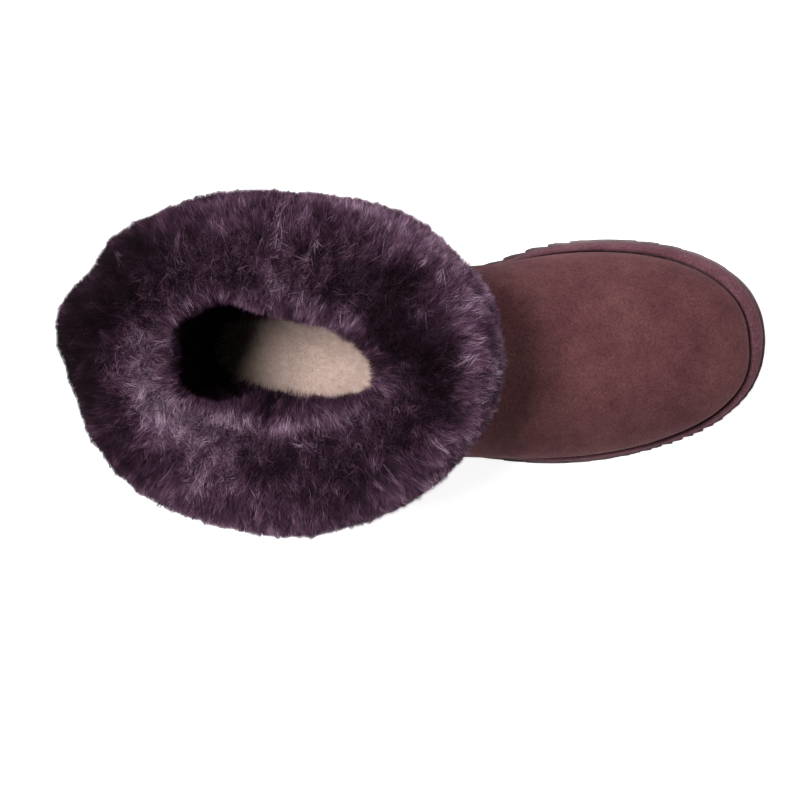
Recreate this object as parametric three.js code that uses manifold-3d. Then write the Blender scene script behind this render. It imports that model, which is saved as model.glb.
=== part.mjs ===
// Sheepskin boot for the right foot, in millimetres: sole, suede foxing band, hollow upper, heel
// counter, insole and a turned-down fur cuff. +X points to the toe, +Y to the inner side of the
// foot and +Z up. The origin is on the floor under the middle of the heel.
import * as THREE from "three";
import { mergeVertices } from "three/addons/utils/BufferGeometryUtils.js";
import Module from "manifold-3d";

const wasm = await Module();
wasm.setup();

// Driving dimensions
const soleLength = 270;
const ballWidth = 105; // widest part of the sole
const heelSetback = 36; // from the origin back to the end of the heel
const instepHeight = 106; // floor to the bend between vamp and shaft
const bootHeight = 196; // floor to the fold at the top of the shaft
const shaftLength = 132; // front to back, outside the suede
const shaftWidth = 96;
const collarTwist = -9; // degrees that the mouth is turned, seen from above
const wall = 2.4; // suede of the upper
const gap = 0.3; // clearance between pieces that touch

// Sole and foxing band
const heelTread = 12; // tread under the band, at the heel
const ballTread = 9; // and at the ball
const toeSpring = 8;
const archRise = 2.5;
const soleBevel = 2.2;
const treadLip = 1; // how far the tread stands out past the band
const bandHeight = 19;
const bandReach = 10; // how far the band leans in over the toe, seen from above
const bandThickness = 2;
const bandUpright = 0.35; // share of the band's height that stands straight
const rimShare = 0.55; // share of the band's height that the rim of the sole backs
const rimSlope = 0.25; // rise of the rim's top over each millimetre inwards
const seatRise = 6; // seat of the upper above the bottom of the band
const tuck = 0.8; // how far the upper draws in below the band's top edge

// Lugs
const grooveWidth = 3;
const grooveDepth = 2.2;
const groovePitch = 14;
const grooveAngle = 14; // degrees that a groove leans towards the heel, either side of the middle
const notchPitch = 10.5;
const notchDepth = 1.4;
const steepest = 1.3; // slope of the outline where the steps of its edge end

// Insole and heel counter
const insoleThickness = 6;
const insoleBevel = 2;
const counterThickness = 1.4;
const counterTop = 84;
const counterLength = 82; // from the end of the heel forwards
const counterLift = 1.2; // above the band

// Fur cuff
const cuffDrop = 54; // how far the cuff hangs below the fold
const innerDrop = 46; // how far its fur reaches down inside
const furRise = 17; // fur above the fold
const furOut = 24;
const furIn = 25;
const tuftReach = 1.5; // how far tufts stand out of the fur
const lockLength = 25;
const lockWidth = 18;
const lockThickness = 7;
const lockSink = 3; // how deep the root of a lock lies in the fur
const locksAround = 18;

const stations = 52; // points round every outline, from the heel by the inner side to the toe and back
const upperSteps = 16; // outlines of the upper above the band
const capColumns = 2; // strips that close an outline

const heelEnd = -heelSetback;
const toeEnd = soleLength - heelSetback;
const alongSole = (share) => heelEnd + share * soleLength;

// Where the arch rises, where the toe begins to lift and where the tread is grooved, as shares of
// soleLength from the end of the heel. The grooves of the heel leave a flat lug on the origin.
const archStart = alongSole(0.29);
const archEnd = alongSole(0.52);
const springStart = alongSole(0.79);
const grooved = [
  { first: -1.5 * groovePitch, last: alongSole(0.28) },
  { first: alongSole(0.555), last: alongSole(0.93) },
];

// Outline of the sole, seen from above. along is a share of soleLength from the end of the heel, side
// a share of ballWidth to the inner side, band the share of bandReach that the band leans in there.
const soleRows = [
  { along: 0.0, side: 0.0, band: 0.5 },
  { along: 0.045, side: 0.228, band: 0.5 },
  { along: 0.13, side: 0.318, band: 0.5 },
  { along: 0.26, side: 0.295, band: 0.44 },
  { along: 0.4, side: 0.29, band: 0.42 },
  { along: 0.52, side: 0.374, band: 0.44 },
  { along: 0.61, side: 0.453, band: 0.5 },
  { along: 0.72, side: 0.481, band: 0.58 },
  { along: 0.84, side: 0.452, band: 0.7 },
  { along: 0.93, side: 0.359, band: 0.88 },
  { along: 0.983, side: 0.214, band: 0.98 },
  { along: 1.0, side: 0.027, band: 1.0 },
  { along: 0.983, side: -0.167, band: 0.72 },
  { along: 0.925, side: -0.334, band: 0.6 },
  { along: 0.83, side: -0.447, band: 0.46 },
  { along: 0.72, side: -0.514, band: 0.43 },
  { along: 0.61, side: -0.53, band: 0.42 },
  { along: 0.48, side: -0.494, band: 0.42 },
  { along: 0.33, side: -0.415, band: 0.42 },
  { along: 0.2, side: -0.348, band: 0.46 },
  { along: 0.12, side: -0.325, band: 0.5 },
  { along: 0.045, side: -0.232, band: 0.5 },
];

// Outlines of the upper from the top of the band to the collar. lift is 0 at the band, 1 at the
// instep and 2 at the fold. back is how far the heel bulges behind the band, as a share of
// soleLength. reach is the share of the way from the front of the shaft to the toe. inner and outer
// are half widths as shares of the width there, round goes from the foot's outline to an oval,
// follow is how far the outline keeps to the lift of the sole, and turn is a share of collarTwist.
const upperRows = [
  { lift: 0.093, back: 0.013, reach: 1.004, inner: 0.422, outer: 0.487, round: 0.02, follow: 1, turn: 0 },
  { lift: 0.22, back: 0.024, reach: 0.965, inner: 0.418, outer: 0.49, round: 0.08, follow: 0.9, turn: 0 },
  { lift: 0.313, back: 0.03, reach: 0.888, inner: 0.4, outer: 0.488, round: 0.16, follow: 0.7, turn: 0 },
  { lift: 0.413, back: 0.0315, reach: 0.76, inner: 0.38, outer: 0.485, round: 0.28, follow: 0.4, turn: 0 },
  { lift: 0.52, back: 0.0315, reach: 0.59, inner: 0.372, outer: 0.48, round: 0.44, follow: 0.2, turn: 0 },
  { lift: 0.653, back: 0.028, reach: 0.397, inner: 0.376, outer: 0.475, round: 0.62, follow: 0, turn: 0.02 },
  { lift: 0.813, back: 0.024, reach: 0.207, inner: 0.398, outer: 0.471, round: 0.8, follow: 0, turn: 0.08 },
  { lift: 1.0, back: 0.022, reach: 0.075, inner: 0.425, outer: 0.471, round: 0.92, follow: 0, turn: 0.2 },
  { lift: 1.18, back: 0.024, reach: 0.01, inner: 0.446, outer: 0.473, round: 0.98, follow: 0, turn: 0.42 },
  { lift: 1.4, back: 0.031, reach: -0.016, inner: 0.458, outer: 0.484, round: 1, follow: 0, turn: 0.68 },
  { lift: 1.68, back: 0.043, reach: -0.012, inner: 0.474, outer: 0.5, round: 1, follow: 0, turn: 0.88 },
  { lift: 2.0, back: 0.057, reach: -0.006, inner: 0.484, outer: 0.516, round: 1, follow: 0, turn: 1 },
];

// Section of the cuff, from the hem up the outside, over the fold and down the inside. side is a
// share of furOut (of furIn where it is negative) from the suede, drop a share of cuffDrop below the
// fold outside (of innerDrop inside), and rise a share of furRise above it. tuft is how far every
// other strand of fur stands out there, as a share of tuftReach, and the rest lie in as far.
const cuffRows = [
  { side: 0.05, drop: 0.95, rise: 0, tuft: 0 },
  { side: 0.42, drop: 1.02, rise: 0, tuft: 0.9 },
  { side: 0.8, drop: 0.93, rise: 0, tuft: 1 },
  { side: 0.97, drop: 0.7, rise: 0, tuft: 0.4 },
  { side: 1.0, drop: 0.4, rise: 0, tuft: -1 },
  { side: 0.96, drop: 0.1, rise: 0, tuft: -0.4 },
  { side: 0.78, drop: 0, rise: 0.45, tuft: 1 },
  { side: 0.4, drop: 0, rise: 0.88, tuft: 0.4 },
  { side: -0.1, drop: 0, rise: 1.0, tuft: -0.7 },
  { side: -0.55, drop: 0, rise: 0.8, tuft: -0.3 },
  { side: -0.9, drop: 0, rise: 0.3, tuft: 0.6 },
  { side: -1.0, drop: 0.2, rise: 0, tuft: 0.4 },
  { side: -0.86, drop: 0.55, rise: 0, tuft: -0.6 },
  { side: -0.5, drop: 0.9, rise: 0, tuft: -0.4 },
  { side: -0.05, drop: 1.0, rise: 0, tuft: 0 },
];

// Thickness of the fur in equal steps round the mouth, from the heel by the inner side to the toe and
// back: out as a share of furOut and inside as a share of furIn.
const furRows = [
  { out: 0.87, inside: 0.98 },
  { out: 0.85, inside: 0.93 },
  { out: 0.81, inside: 0.92 },
  { out: 0.83, inside: 0.98 },
  { out: 0.91, inside: 0.98 },
  { out: 0.98, inside: 0.78 },
  { out: 0.95, inside: 0.82 },
  { out: 0.84, inside: 0.94 },
  { out: 0.92, inside: 1 },
  { out: 1.02, inside: 1 },
  { out: 1.0, inside: 1 },
  { out: 0.97, inside: 1 },
];

// Rows of longer locks: the row of cuffRows they grow from, how many degrees they rise from the way
// the fur lies there, and how far on the row is turned, as a share of the way to the next lock
const lockRows = [
  { row: 3, tilt: 4, turn: 0 },
  { row: 5, tilt: 4, turn: 0.5 },
  { row: 7, tilt: -26, turn: 0.1 },
];

const lerp = (a, b, share) => a + (b - a) * share;
const clamp01 = (value) => Math.min(1, Math.max(0, value));
const smooth = (value) => clamp01(value) ** 2 * (3 - 2 * clamp01(value));
const around = (index) => (index + stations) % stations;
const everyStation = (make) => Array.from({ length: stations }, (_, k) => make(k));

// A smooth curve through equally spaced values, place 0 at the first and 1 at the last.
function through(values, place) {
  const at = clamp01(place) * (values.length - 1);
  const i = Math.min(Math.floor(at), values.length - 2);
  const [a, b, c, d] = [i - 1, i, i + 1, i + 2].map(
    (j) => values[Math.min(Math.max(j, 0), values.length - 1)],
  );
  const f = at - i;
  return b + 0.5 * f * (c - a + f * (2 * a - 5 * b + 4 * c - d + f * (3 * (b - c) + d - a)));
}

// Heights along the foot
const springAt = (x) => toeSpring * clamp01((x - springStart) / (toeEnd - springStart)) ** 2;
const archAt = (x) => archRise * Math.sin(Math.PI * clamp01((x - archStart) / (archEnd - archStart)));
const bottomAt = (x) => springAt(x) + archAt(x);
const treadAt = (x) => lerp(heelTread, ballTread, smooth((x - archStart) / (archEnd - archStart)));
const ledgeAt = (x) => springAt(x) + treadAt(x);
const seatAt = (x) => ledgeAt(x) + seatRise;
const creaseAt = (x) => ledgeAt(x) + bandHeight;

// Points on the outline of the sole, with the way out and the band's lean there
function soleOutline() {
  const corners = soleRows.map(
    ({ along, side, band }) => new THREE.Vector3(alongSole(along), side * ballWidth, band * bandReach),
  );
  const curve = new THREE.CatmullRomCurve3(corners, true, "centripetal");
  const fine = curve.getSpacedPoints(16 * stations);
  const tipShare = fine.reduce((best, p, i) => (p.x > fine[best].x ? i : best), 0) / (16 * stations);
  const shareOf = (k) => {
    const half = k / (stations / 2);
    return half <= 1 ? half * tipShare : tipShare + (half - 1) * (1 - tipShare);
  };
  return everyStation((k) => {
    const point = curve.getPointAt(shareOf(k));
    const along = curve.getTangentAt(shareOf(k));
    return { x: point.x, y: point.y, band: point.z, out: new THREE.Vector2(-along.y, along.x).normalize() };
  });
}
const outline = soleOutline();

// A point a distance inside the outline of the sole
function inset(k, distance, heightAt) {
  const { x, y, out } = outline[k];
  const px = x - out.x * distance;
  return new THREE.Vector3(px, y - out.y * distance, heightAt(px));
}

const crease = everyStation((k) => inset(k, outline[k].band, creaseAt));
const feather = everyStation((k) => inset(k, outline[k].band + tuck, (x) => seatAt(x) + gap));
const creaseBack = Math.min(...crease.map((p) => p.x));
const creaseFront = Math.max(...crease.map((p) => p.x));
const creaseInner = Math.max(...crease.map((p) => p.y));
const creaseOuter = -Math.min(...crease.map((p) => p.y));

// One outline of the upper at a place from 0, above the band, to 1, at the fold
function upperRing(place) {
  const value = (column) => through(upperRows.map((row) => row[column]), place);
  const lift = value("lift");
  const start = creaseAt(heelEnd);
  const height = lift < 1 ? lerp(start, instepHeight, lift) : lerp(instepHeight, bootHeight, lift - 1);
  const back = creaseBack - value("back") * soleLength;
  const front = lerp(back + shaftLength, creaseFront, value("reach"));
  const width = lerp(shaftWidth, ballWidth, value("reach"));
  const shape = crease.map((p, k) => {
    const angle = (k / stations) * 2 * Math.PI;
    const footX = (p.x - creaseBack) / (creaseFront - creaseBack);
    const footY = p.y / (p.y > 0 ? creaseInner : creaseOuter);
    const ovalX = 0.5 - 0.5 * Math.cos(angle);
    return new THREE.Vector2(lerp(footX, ovalX, value("round")), lerp(footY, Math.sin(angle), value("round")));
  });
  const most = Math.max(...shape.map((p) => p.y));
  const least = -Math.min(...shape.map((p) => p.y));
  const middle = new THREE.Vector2((back + front) / 2, 0);
  const turn = THREE.MathUtils.degToRad(collarTwist * value("turn"));
  return shape.map((p) => {
    const half = p.y > 0 ? (value("inner") * width) / most : (value("outer") * width) / least;
    const flat = new THREE.Vector2(lerp(back, front, p.x), p.y * half).rotateAround(middle, turn);
    const raised = creaseAt(flat.x) + height - start;
    return new THREE.Vector3(flat.x, flat.y, lerp(height, raised, value("follow")));
  });
}

// All outlines of the upper's outside, from the seat on the sole to the fold
const upperRings = [
  feather,
  crease,
  ...Array.from({ length: upperSteps }, (_, i) => upperRing(i / (upperSteps - 1))),
];

// The level way out of an outline at a station
function wayOut(ring, k) {
  const along = ring[around(k + 1)].clone().sub(ring[around(k - 1)]);
  return new THREE.Vector3(-along.y, along.x, 0).normalize();
}

// The same outlines moved out square to their surface by a distance for each ring and station, or in
// where it is negative. The first and last are moved level.
function offsetRings(rings, distanceAt) {
  return rings.map((ring, j) =>
    ring.map((point, k) => {
      let out = wayOut(ring, k);
      if (j > 0 && j < rings.length - 1) {
        const along = ring[around(k + 1)].clone().sub(ring[around(k - 1)]);
        out = rings[j + 1][k].clone().sub(rings[j - 1][k]).cross(along).normalize();
      }
      return point.clone().addScaledVector(out, distanceAt(j, k));
    }),
  );
}

// Triangles between outlines that follow each other, facing out where they run upwards
function skin(rings) {
  const faces = [];
  for (let j = 0; j + 1 < rings.length; j++)
    for (let k = 0; k < rings[j].length; k++) {
      const next = (k + 1) % rings[j].length;
      faces.push([rings[j][k], rings[j + 1][k], rings[j + 1][next]]);
      faces.push([rings[j][k], rings[j + 1][next], rings[j][next]]);
    }
  return faces;
}

// Triangles that close an outline, facing up, in strips from the inner side to the outer
function cap(ring, heightAt) {
  const half = stations / 2;
  const rows = Array.from({ length: half - 1 }, (_, i) =>
    Array.from({ length: capColumns + 1 }, (_, c) => {
      const point = ring[i + 1].clone().lerp(ring[around(-i - 1)], c / capColumns);
      if (c > 0 && c < capColumns && heightAt) point.z = heightAt(point.x);
      return point;
    }),
  );
  const faces = [];
  for (let c = 0; c < capColumns; c++) {
    faces.push([ring[0], rows[0][c + 1], rows[0][c]]);
    for (let i = 0; i + 1 < rows.length; i++) {
      faces.push([rows[i][c], rows[i][c + 1], rows[i + 1][c + 1]]);
      faces.push([rows[i][c], rows[i + 1][c + 1], rows[i + 1][c]]);
    }
    faces.push([rows.at(-1)[c], rows.at(-1)[c + 1], ring[half]]);
  }
  return faces;
}

const turned = (faces) => faces.map(([a, b, c]) => [a, c, b]);

function geometryOf(faces) {
  const positions = faces.flat().flatMap((p) => [p.x, p.y, p.z]);
  const geometry = new THREE.BufferGeometry();
  geometry.setAttribute("position", new THREE.BufferAttribute(new Float32Array(positions), 3));
  return mergeVertices(geometry, 1e-4);
}

// three.js geometry to a solid that can be cut and joined, and back
function solidOf(geometry) {
  const bare = new THREE.BufferGeometry();
  bare.setAttribute("position", (geometry.index ? geometry.toNonIndexed() : geometry).getAttribute("position"));
  const merged = mergeVertices(bare, 1e-4);
  const vertProperties = merged.attributes.position.array;
  const triVerts = new Uint32Array(merged.index.array);
  return new wasm.Manifold(new wasm.Mesh({ numProp: 3, vertProperties, triVerts }));
}

function geometryFrom(solid) {
  const { vertProperties, triVerts } = solid.getMesh();
  const geometry = new THREE.BufferGeometry();
  geometry.setAttribute("position", new THREE.BufferAttribute(new Float32Array(vertProperties), 3));
  geometry.setIndex(new THREE.BufferAttribute(new Uint32Array(triVerts), 1));
  geometry.computeVertexNormals();
  return geometry;
}

const upperInside = offsetRings(upperRings, () => -wall);

// The upper: one wall of suede, open at the fold and underneath
function upper() {
  const inside = [...upperInside].reverse();
  return geometryOf(skin([...upperRings, ...inside, upperRings[0]]));
}

// Section of the suede band, from the ledge of the sole up and in to the upper. share runs up its
// outside and depth goes through it; the result is how far in it stands and how far up.
function bandSection(k, share, depth) {
  const lean = outline[k].band - gap - treadLip;
  const bend = Math.max(0, share - bandUpright) / (1 - bandUpright);
  const angle = (bend * Math.PI) / 2;
  const tall = bandHeight - gap;
  const upright = Math.min(share, bandUpright) * tall;
  return {
    inward: treadLip + lean * (1 - Math.cos(angle)) + depth * Math.cos(angle),
    rise: gap + upright + ((1 - bandUpright) * tall - depth) * Math.sin(angle),
  };
}

function bandPoint(k, share, depth) {
  const { inward, rise } = bandSection(k, share, depth);
  return inset(k, inward, (x) => ledgeAt(x) + rise);
}

function foxing() {
  const shares = [0, bandUpright, rimShare, (1 + rimShare) / 2, 1];
  const outside = shares.map((share) => everyStation((k) => bandPoint(k, share, 0)));
  const inside = shares.map((share) => everyStation((k) => bandPoint(k, share, bandThickness))).reverse();
  return geometryOf(skin([...outside, ...inside, outside[0]]));
}

// Grooves that part the lugs under heel and forefoot, each an arrow that points to the toe
function grooves() {
  const angle = THREE.MathUtils.degToRad(grooveAngle);
  const reach = ballWidth / 2 - (Math.tan(angle) * grooveWidth) / 2;
  const cuts = [];
  for (const { first, last } of grooved)
    for (let x = first; x <= last; x += groovePitch)
      for (const side of [-1, 1]) {
        const bar = new THREE.BoxGeometry(grooveWidth, ballWidth, 2 * (bottomAt(x) + grooveDepth));
        bar.translate(0, side * reach, 0);
        bar.rotateZ(side * angle);
        bar.translate(x, 0, 0);
        cuts.push(solidOf(bar));
      }
  return cuts;
}

// Steps in the edge of the tread. The side of each lug runs straight along the boot, so a step is as
// deep as the outline leans over one pitch, up to notchDepth. Where that is under gap there is none,
// nor where the outline turns across the boot at either end.
function notches() {
  const cuts = [];
  for (let x = alongSole(0) + notchPitch; x < toeEnd - notchPitch / 2; x += notchPitch)
    for (const side of [-1, 1]) {
      const lean = edgeAt(x + notchPitch / 2, side) - edgeAt(x - notchPitch / 2, side);
      const depth = Math.min(notchDepth, Math.abs(lean));
      const slope = Math.abs(lean) / notchPitch;
      if (depth < gap || slope > steepest) continue;
      const tail = (-Math.sign(lean) * 0.8 * notchPitch) / Math.hypot(1, slope);
      const beyond = edgeAt(x, side) + 2 * notchDepth;
      const step = new THREE.Shape([
        new THREE.Vector2(0, side * beyond),
        new THREE.Vector2(0, side * (edgeAt(x, side) - depth)),
        new THREE.Vector2(tail, side * (edgeAt(x + tail, side) + notchDepth / 4)),
        new THREE.Vector2(tail, side * beyond),
      ]);
      const prism = new THREE.ExtrudeGeometry(step, { depth: ledgeAt(x) + 1, bevelEnabled: false });
      prism.translate(x, 0, -0.5);
      cuts.push(solidOf(prism));
    }
  return cuts;
}

// Distance of the sole's edge from the middle line at a place along the boot
function edgeAt(x, side) {
  const half = outline.filter((p) => p.y * side > 0).sort((a, b) => a.x - b.x);
  const after = half.findIndex((p) => p.x > x);
  if (after < 1) return 0;
  const [a, b] = [half[after - 1], half[after]];
  return Math.abs(lerp(a.y, b.y, (x - a.x) / (b.x - a.x)));
}

function outsole() {
  const behindBand = bandThickness + gap;
  const besideUpper = (k) => outline[k].band + tuck - gap;
  const rimEdge = (k) => bandSection(k, rimShare, behindBand);
  const rimTop = (k) => rimEdge(k).rise + rimSlope * (outline[k].band - gap - rimEdge(k).inward);
  const rings = [
    everyStation((k) => inset(k, soleBevel, bottomAt)),
    everyStation((k) => inset(k, 0, (x) => bottomAt(x) + soleBevel)),
    everyStation((k) => inset(k, 0, ledgeAt)),
    everyStation((k) => inset(k, treadLip + behindBand, ledgeAt)),
    everyStation((k) => bandPoint(k, bandUpright, behindBand)),
    everyStation((k) => bandPoint(k, rimShare, behindBand)),
    everyStation((k) => inset(k, outline[k].band - gap, (x) => ledgeAt(x) + rimTop(k))),
    everyStation((k) => inset(k, besideUpper(k), seatAt)),
  ];
  const faces = [...skin(rings), ...turned(cap(rings[0], bottomAt)), ...cap(rings.at(-1), seatAt)];
  let sole = solidOf(geometryOf(faces));
  for (const cut of [...grooves(), ...notches()]) sole = sole.subtract(cut);
  return geometryFrom(sole);
}

function insole() {
  const ring = (drawIn, lift) =>
    upperInside[0].map((p, k) => {
      const point = p.clone().addScaledVector(wayOut(upperInside[0], k), -gap - drawIn);
      return point.setZ(seatAt(point.x) + gap + lift);
    });
  const rings = [
    ring(0, 0),
    ring(0, insoleThickness - insoleBevel),
    ring(insoleBevel, insoleThickness),
  ];
  const under = turned(cap(rings[0], (x) => seatAt(x) + gap));
  return geometryOf([...skin(rings), ...under, ...cap(rings.at(-1), (x) => seatAt(x) + gap + insoleThickness)]);
}

// A closed form a distance outside the upper, to cut overlays from
function formAround(distance) {
  const rings = offsetRings(upperRings, () => distance);
  return solidOf(geometryOf([...skin(rings), ...turned(cap(rings[0])), ...cap(rings.at(-1))]));
}

// Patch of suede over the heel, cut from the shell round the upper: low at the front, rising to the back
function heelCounter() {
  const bottom = creaseAt(heelEnd) + counterLift;
  const front = heelEnd + counterLength;
  const behind = heelEnd - counterLength;
  const side = new THREE.Shape();
  const shoulder = [lerp(bottom, counterTop, 0.5), lerp(heelEnd, front, 0.5)];
  side.moveTo(behind, bottom);
  side.lineTo(front, bottom);
  side.bezierCurveTo(front, shoulder[0], shoulder[1], counterTop, heelEnd, counterTop);
  side.lineTo(behind, counterTop);
  side.closePath();
  const across = { depth: 2 * ballWidth, bevelEnabled: false, curveSegments: 6 };
  const cutter = new THREE.ExtrudeGeometry(side, across);
  cutter.rotateX(Math.PI / 2);
  cutter.translate(0, ballWidth, 0);
  const shell = formAround(gap + counterThickness).subtract(formAround(gap));
  return geometryFrom(shell.intersect(solidOf(cutter)));
}

// A point level with a height on the shaft, a distance out from the suede
function besideShaft(k, height, distance) {
  const column = upperRings.map((ring) => ring[k]);
  const above = column.findIndex((p) => p.z >= height);
  const point = column.at(-1).clone();
  if (above > 0) {
    const [a, b] = [column[above - 1], column[above]];
    point.lerpVectors(a, b, (height - a.z) / (b.z - a.z));
  }
  return point.addScaledVector(wayOut(upperRings.at(-1), k), distance).setZ(height);
}

const furCurve = new THREE.CatmullRomCurve3(
  furRows.map((row) => new THREE.Vector3(row.out, row.inside, 0)),
  true,
);

function cuffPoint(k, row) {
  const share = furCurve.getPoint(k / stations);
  const thick = row.side >= 0 ? furOut * share.x : furIn * share.y;
  const start = row.side >= 0 ? gap : -wall - gap;
  const height = bootHeight + row.rise * furRise - row.drop * (row.side >= 0 ? cuffDrop : innerDrop);
  return besideShaft(k, height, start + row.side * (thick - gap));
}

// Longer locks that hang down the outside of the cuff like leaves
function locks() {
  const places = lockRows.flatMap((rank) =>
    Array.from({ length: locksAround }, (_, i) => ({ ...rank, share: (i + rank.turn) / locksAround })),
  );
  return places.map(({ row, tilt, share }) => {
    const k = Math.round(share * stations) % stations;
    const way = cuffPoint(k, cuffRows[row - 1]).sub(cuffPoint(k, cuffRows[row + 1])).normalize();
    const across = cuffPoint(around(k + 1), cuffRows[row]).sub(cuffPoint(around(k - 1), cuffRows[row]));
    const out = new THREE.Vector3().crossVectors(across, way).normalize();
    const lift = THREE.MathUtils.degToRad(tilt);
    const along = way.multiplyScalar(Math.cos(lift)).addScaledVector(out, Math.sin(lift));
    const side = new THREE.Vector3().crossVectors(along, out).normalize();
    const lock = new THREE.ConeGeometry(0.5, 1, 4);
    lock.translate(0, 0.5, 0);
    lock.scale(lockWidth, lockLength, lockThickness);
    lock.applyMatrix4(new THREE.Matrix4().makeBasis(side, along, side.clone().cross(along)));
    const root = cuffPoint(k, cuffRows[row]).addScaledVector(out, -lockSink);
    return solidOf(lock.translate(root.x, root.y, root.z));
  });
}

function cuff() {
  const smoothRings = cuffRows.map((row) => everyStation((k) => cuffPoint(k, row)));
  const tufts = (j, k) => cuffRows[j].tuft * tuftReach * (k % 2 ? -1 : 1);
  const slot = [
    everyStation((k) => besideShaft(k, bootHeight + gap, -wall - gap)),
    everyStation((k) => besideShaft(k, bootHeight + gap, gap)),
  ];
  const rings = [...offsetRings(smoothRings, tufts), ...slot];
  const fur = solidOf(geometryOf(skin([...rings, rings[0]])));
  const space = formAround(gap);
  return geometryFrom(locks().reduce((body, lock) => body.add(lock.subtract(space)), fur));
}

const suede = new THREE.MeshStandardMaterial({ color: 0x66423f, roughness: 0.95 });
const suedeBand = new THREE.MeshStandardMaterial({ color: 0x66474a, roughness: 0.95 });
const foam = new THREE.MeshStandardMaterial({ color: 0x62524f, roughness: 0.8 });
const fleece = new THREE.MeshStandardMaterial({ color: 0xcdb9a9, roughness: 1 });
const fur = new THREE.MeshStandardMaterial({ color: 0x4a3546, roughness: 1 });

const boot = new THREE.Group();
const pieces = [
  ["outsole", outsole(), foam],
  ["foxing", foxing(), suedeBand],
  ["upper", upper(), suede],
  ["heel_counter", heelCounter(), suedeBand],
  ["insole", insole(), fleece],
  ["cuff", cuff(), fur],
];
for (const [name, geometry, material] of pieces) {
  const mesh = new THREE.Mesh(geometry, material);
  mesh.name = name;
  boot.add(mesh);
}

export default boot;
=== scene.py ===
"""A short sheepskin boot for the right foot, seen from above, toe to the right."""
import math

import bmesh
import bpy
import numpy as np
from mathutils import Matrix, Vector
from mathutils.bvhtree import BVHTree


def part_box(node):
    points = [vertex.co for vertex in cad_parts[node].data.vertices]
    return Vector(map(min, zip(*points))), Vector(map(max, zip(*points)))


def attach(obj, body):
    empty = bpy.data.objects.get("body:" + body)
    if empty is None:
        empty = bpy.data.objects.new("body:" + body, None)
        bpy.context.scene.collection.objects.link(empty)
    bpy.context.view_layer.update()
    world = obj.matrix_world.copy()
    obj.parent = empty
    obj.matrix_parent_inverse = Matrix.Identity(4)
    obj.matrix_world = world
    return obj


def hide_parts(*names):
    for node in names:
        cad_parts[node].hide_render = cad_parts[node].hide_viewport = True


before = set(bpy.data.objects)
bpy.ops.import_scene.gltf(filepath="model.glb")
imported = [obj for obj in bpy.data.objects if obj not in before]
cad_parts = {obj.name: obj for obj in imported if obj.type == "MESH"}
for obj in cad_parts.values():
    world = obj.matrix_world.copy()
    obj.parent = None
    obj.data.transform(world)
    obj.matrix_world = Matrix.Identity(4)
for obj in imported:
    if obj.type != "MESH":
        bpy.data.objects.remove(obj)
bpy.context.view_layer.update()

chance = np.random.default_rng(11)

# Lengths and places are in millimetres. Directions are in degrees from the toe round by the inner side.

# Shaft, seams and stitches
SHAFT_MIDDLE = np.array([21, -1.3, 0])
FOLD_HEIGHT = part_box("upper")[1][2] * 1000
WALL = 2.4
SEAM_THICK = 1.7
ROWS_APART = 4.6
PATCH_ROWS = (1.8, 4)
STITCH_PITCH = 3.6
STITCH_LENGTH = 2.7
STITCH_THICK = 0.8
STITCH_LIFT = 0.12
STITCH_DIP = 0.25

# Fur, fleece and footbed
UNDERCOAT_DEPTH = 5
CUFF_ROUND = 450
CUFF_OVER = 172
FUR_LENGTH = 8.5
FUR_WIDTH = 0.36
FLEECE_LENGTH = 9
FLEECE_WIDTH = 0.5
FOOTBED_LENGTH = 1.6
FOOTBED_WIDTH = 0.4
CUFF_HAIRS = 580000
LINING_HAIRS = 60000
INSOLE_HAIRS = 40000
TUFTS_ROUND = 280
TUFTS_OVER = 104

# Sole and band
SOLE_MIDDLE = np.array([100, -2, 0])
TOE_MIDDLE = np.array([150, 0, 0])
SOLE_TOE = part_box("outsole")[1][0] * 1000
SPRING_START = 177.3
SPRING_RISE = 8
WAIST_START = 42.3
WAIST_LENGTH = 62.1
HEEL_LEDGE = 12
LEDGE_FALL = 3
ARCH_RISE = 2.5
RIB_PITCH = 5.25
RIB_DEPTH = 0.4

# The hide of the cuff, from the bottom of the outside over the fold to the bottom of the inside: the height
# of the wall that the fur grows from there, and the angle that the hide faces, which is 0 outwards, 90 up and
# 180 inwards
HIDE = [
    (150, -85), (151, -50), (155, -15), (164, 0), (190, 0), (196, 20), (196, 90), (196, 160), (190, 180),
    (168, 180), (160, 192), (157, 228), (156, 265),
]
# How far the cuff's outside swells past the plain fur, by direction
SWELLS = [
    (0, 1), (30, 1.6), (36, 2.8), (42, 3.5), (50, 2.2), (66, 1), (90, 0.2), (100, 0.5), (120, 1.4),
    (135, 1.2), (146, 2), (151, 3.4), (156.5, -1), (161, 2.8), (168, 6.9), (174, 5.4), (180, 2), (186, -0.2),
    (198, 1.8), (207, 2.8), (216, 3.2), (225, 2), (250, 0.4), (276, 1), (300, 0.4), (324, 0.8), (336, 0.2),
]
# How far from the middle of the shaft the fur leaves the mouth open, by direction: at its lip
LIP = [
    (0, 39), (12, 34.5), (21, 32), (32, 29.5), (50, 24.5), (75, 22), (101, 22.5), (124, 28.5), (138, 38),
    (153, 43), (163, 47), (178, 45), (193, 48), (201, 46), (214, 38), (229, 31.5), (249, 26.5), (272, 24.5),
    (299, 26.5), (317, 31), (330, 35.5), (341, 42), (352, 40.5),
]
# And further down
DEEP = [
    (0, 37), (12, 32.7), (21, 30.5), (32, 27.8), (50, 22.3), (75, 19.9), (101, 20.8), (124, 26.6),
    (138, 37.2), (153, 42.4), (163, 46.5), (178, 44.4), (193, 47.5), (201, 45), (214, 36), (225, 26),
    (236, 18), (264, 16.5), (277, 19.5), (308, 23.7), (327, 32.2), (341, 41), (352, 38.6),
]
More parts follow.
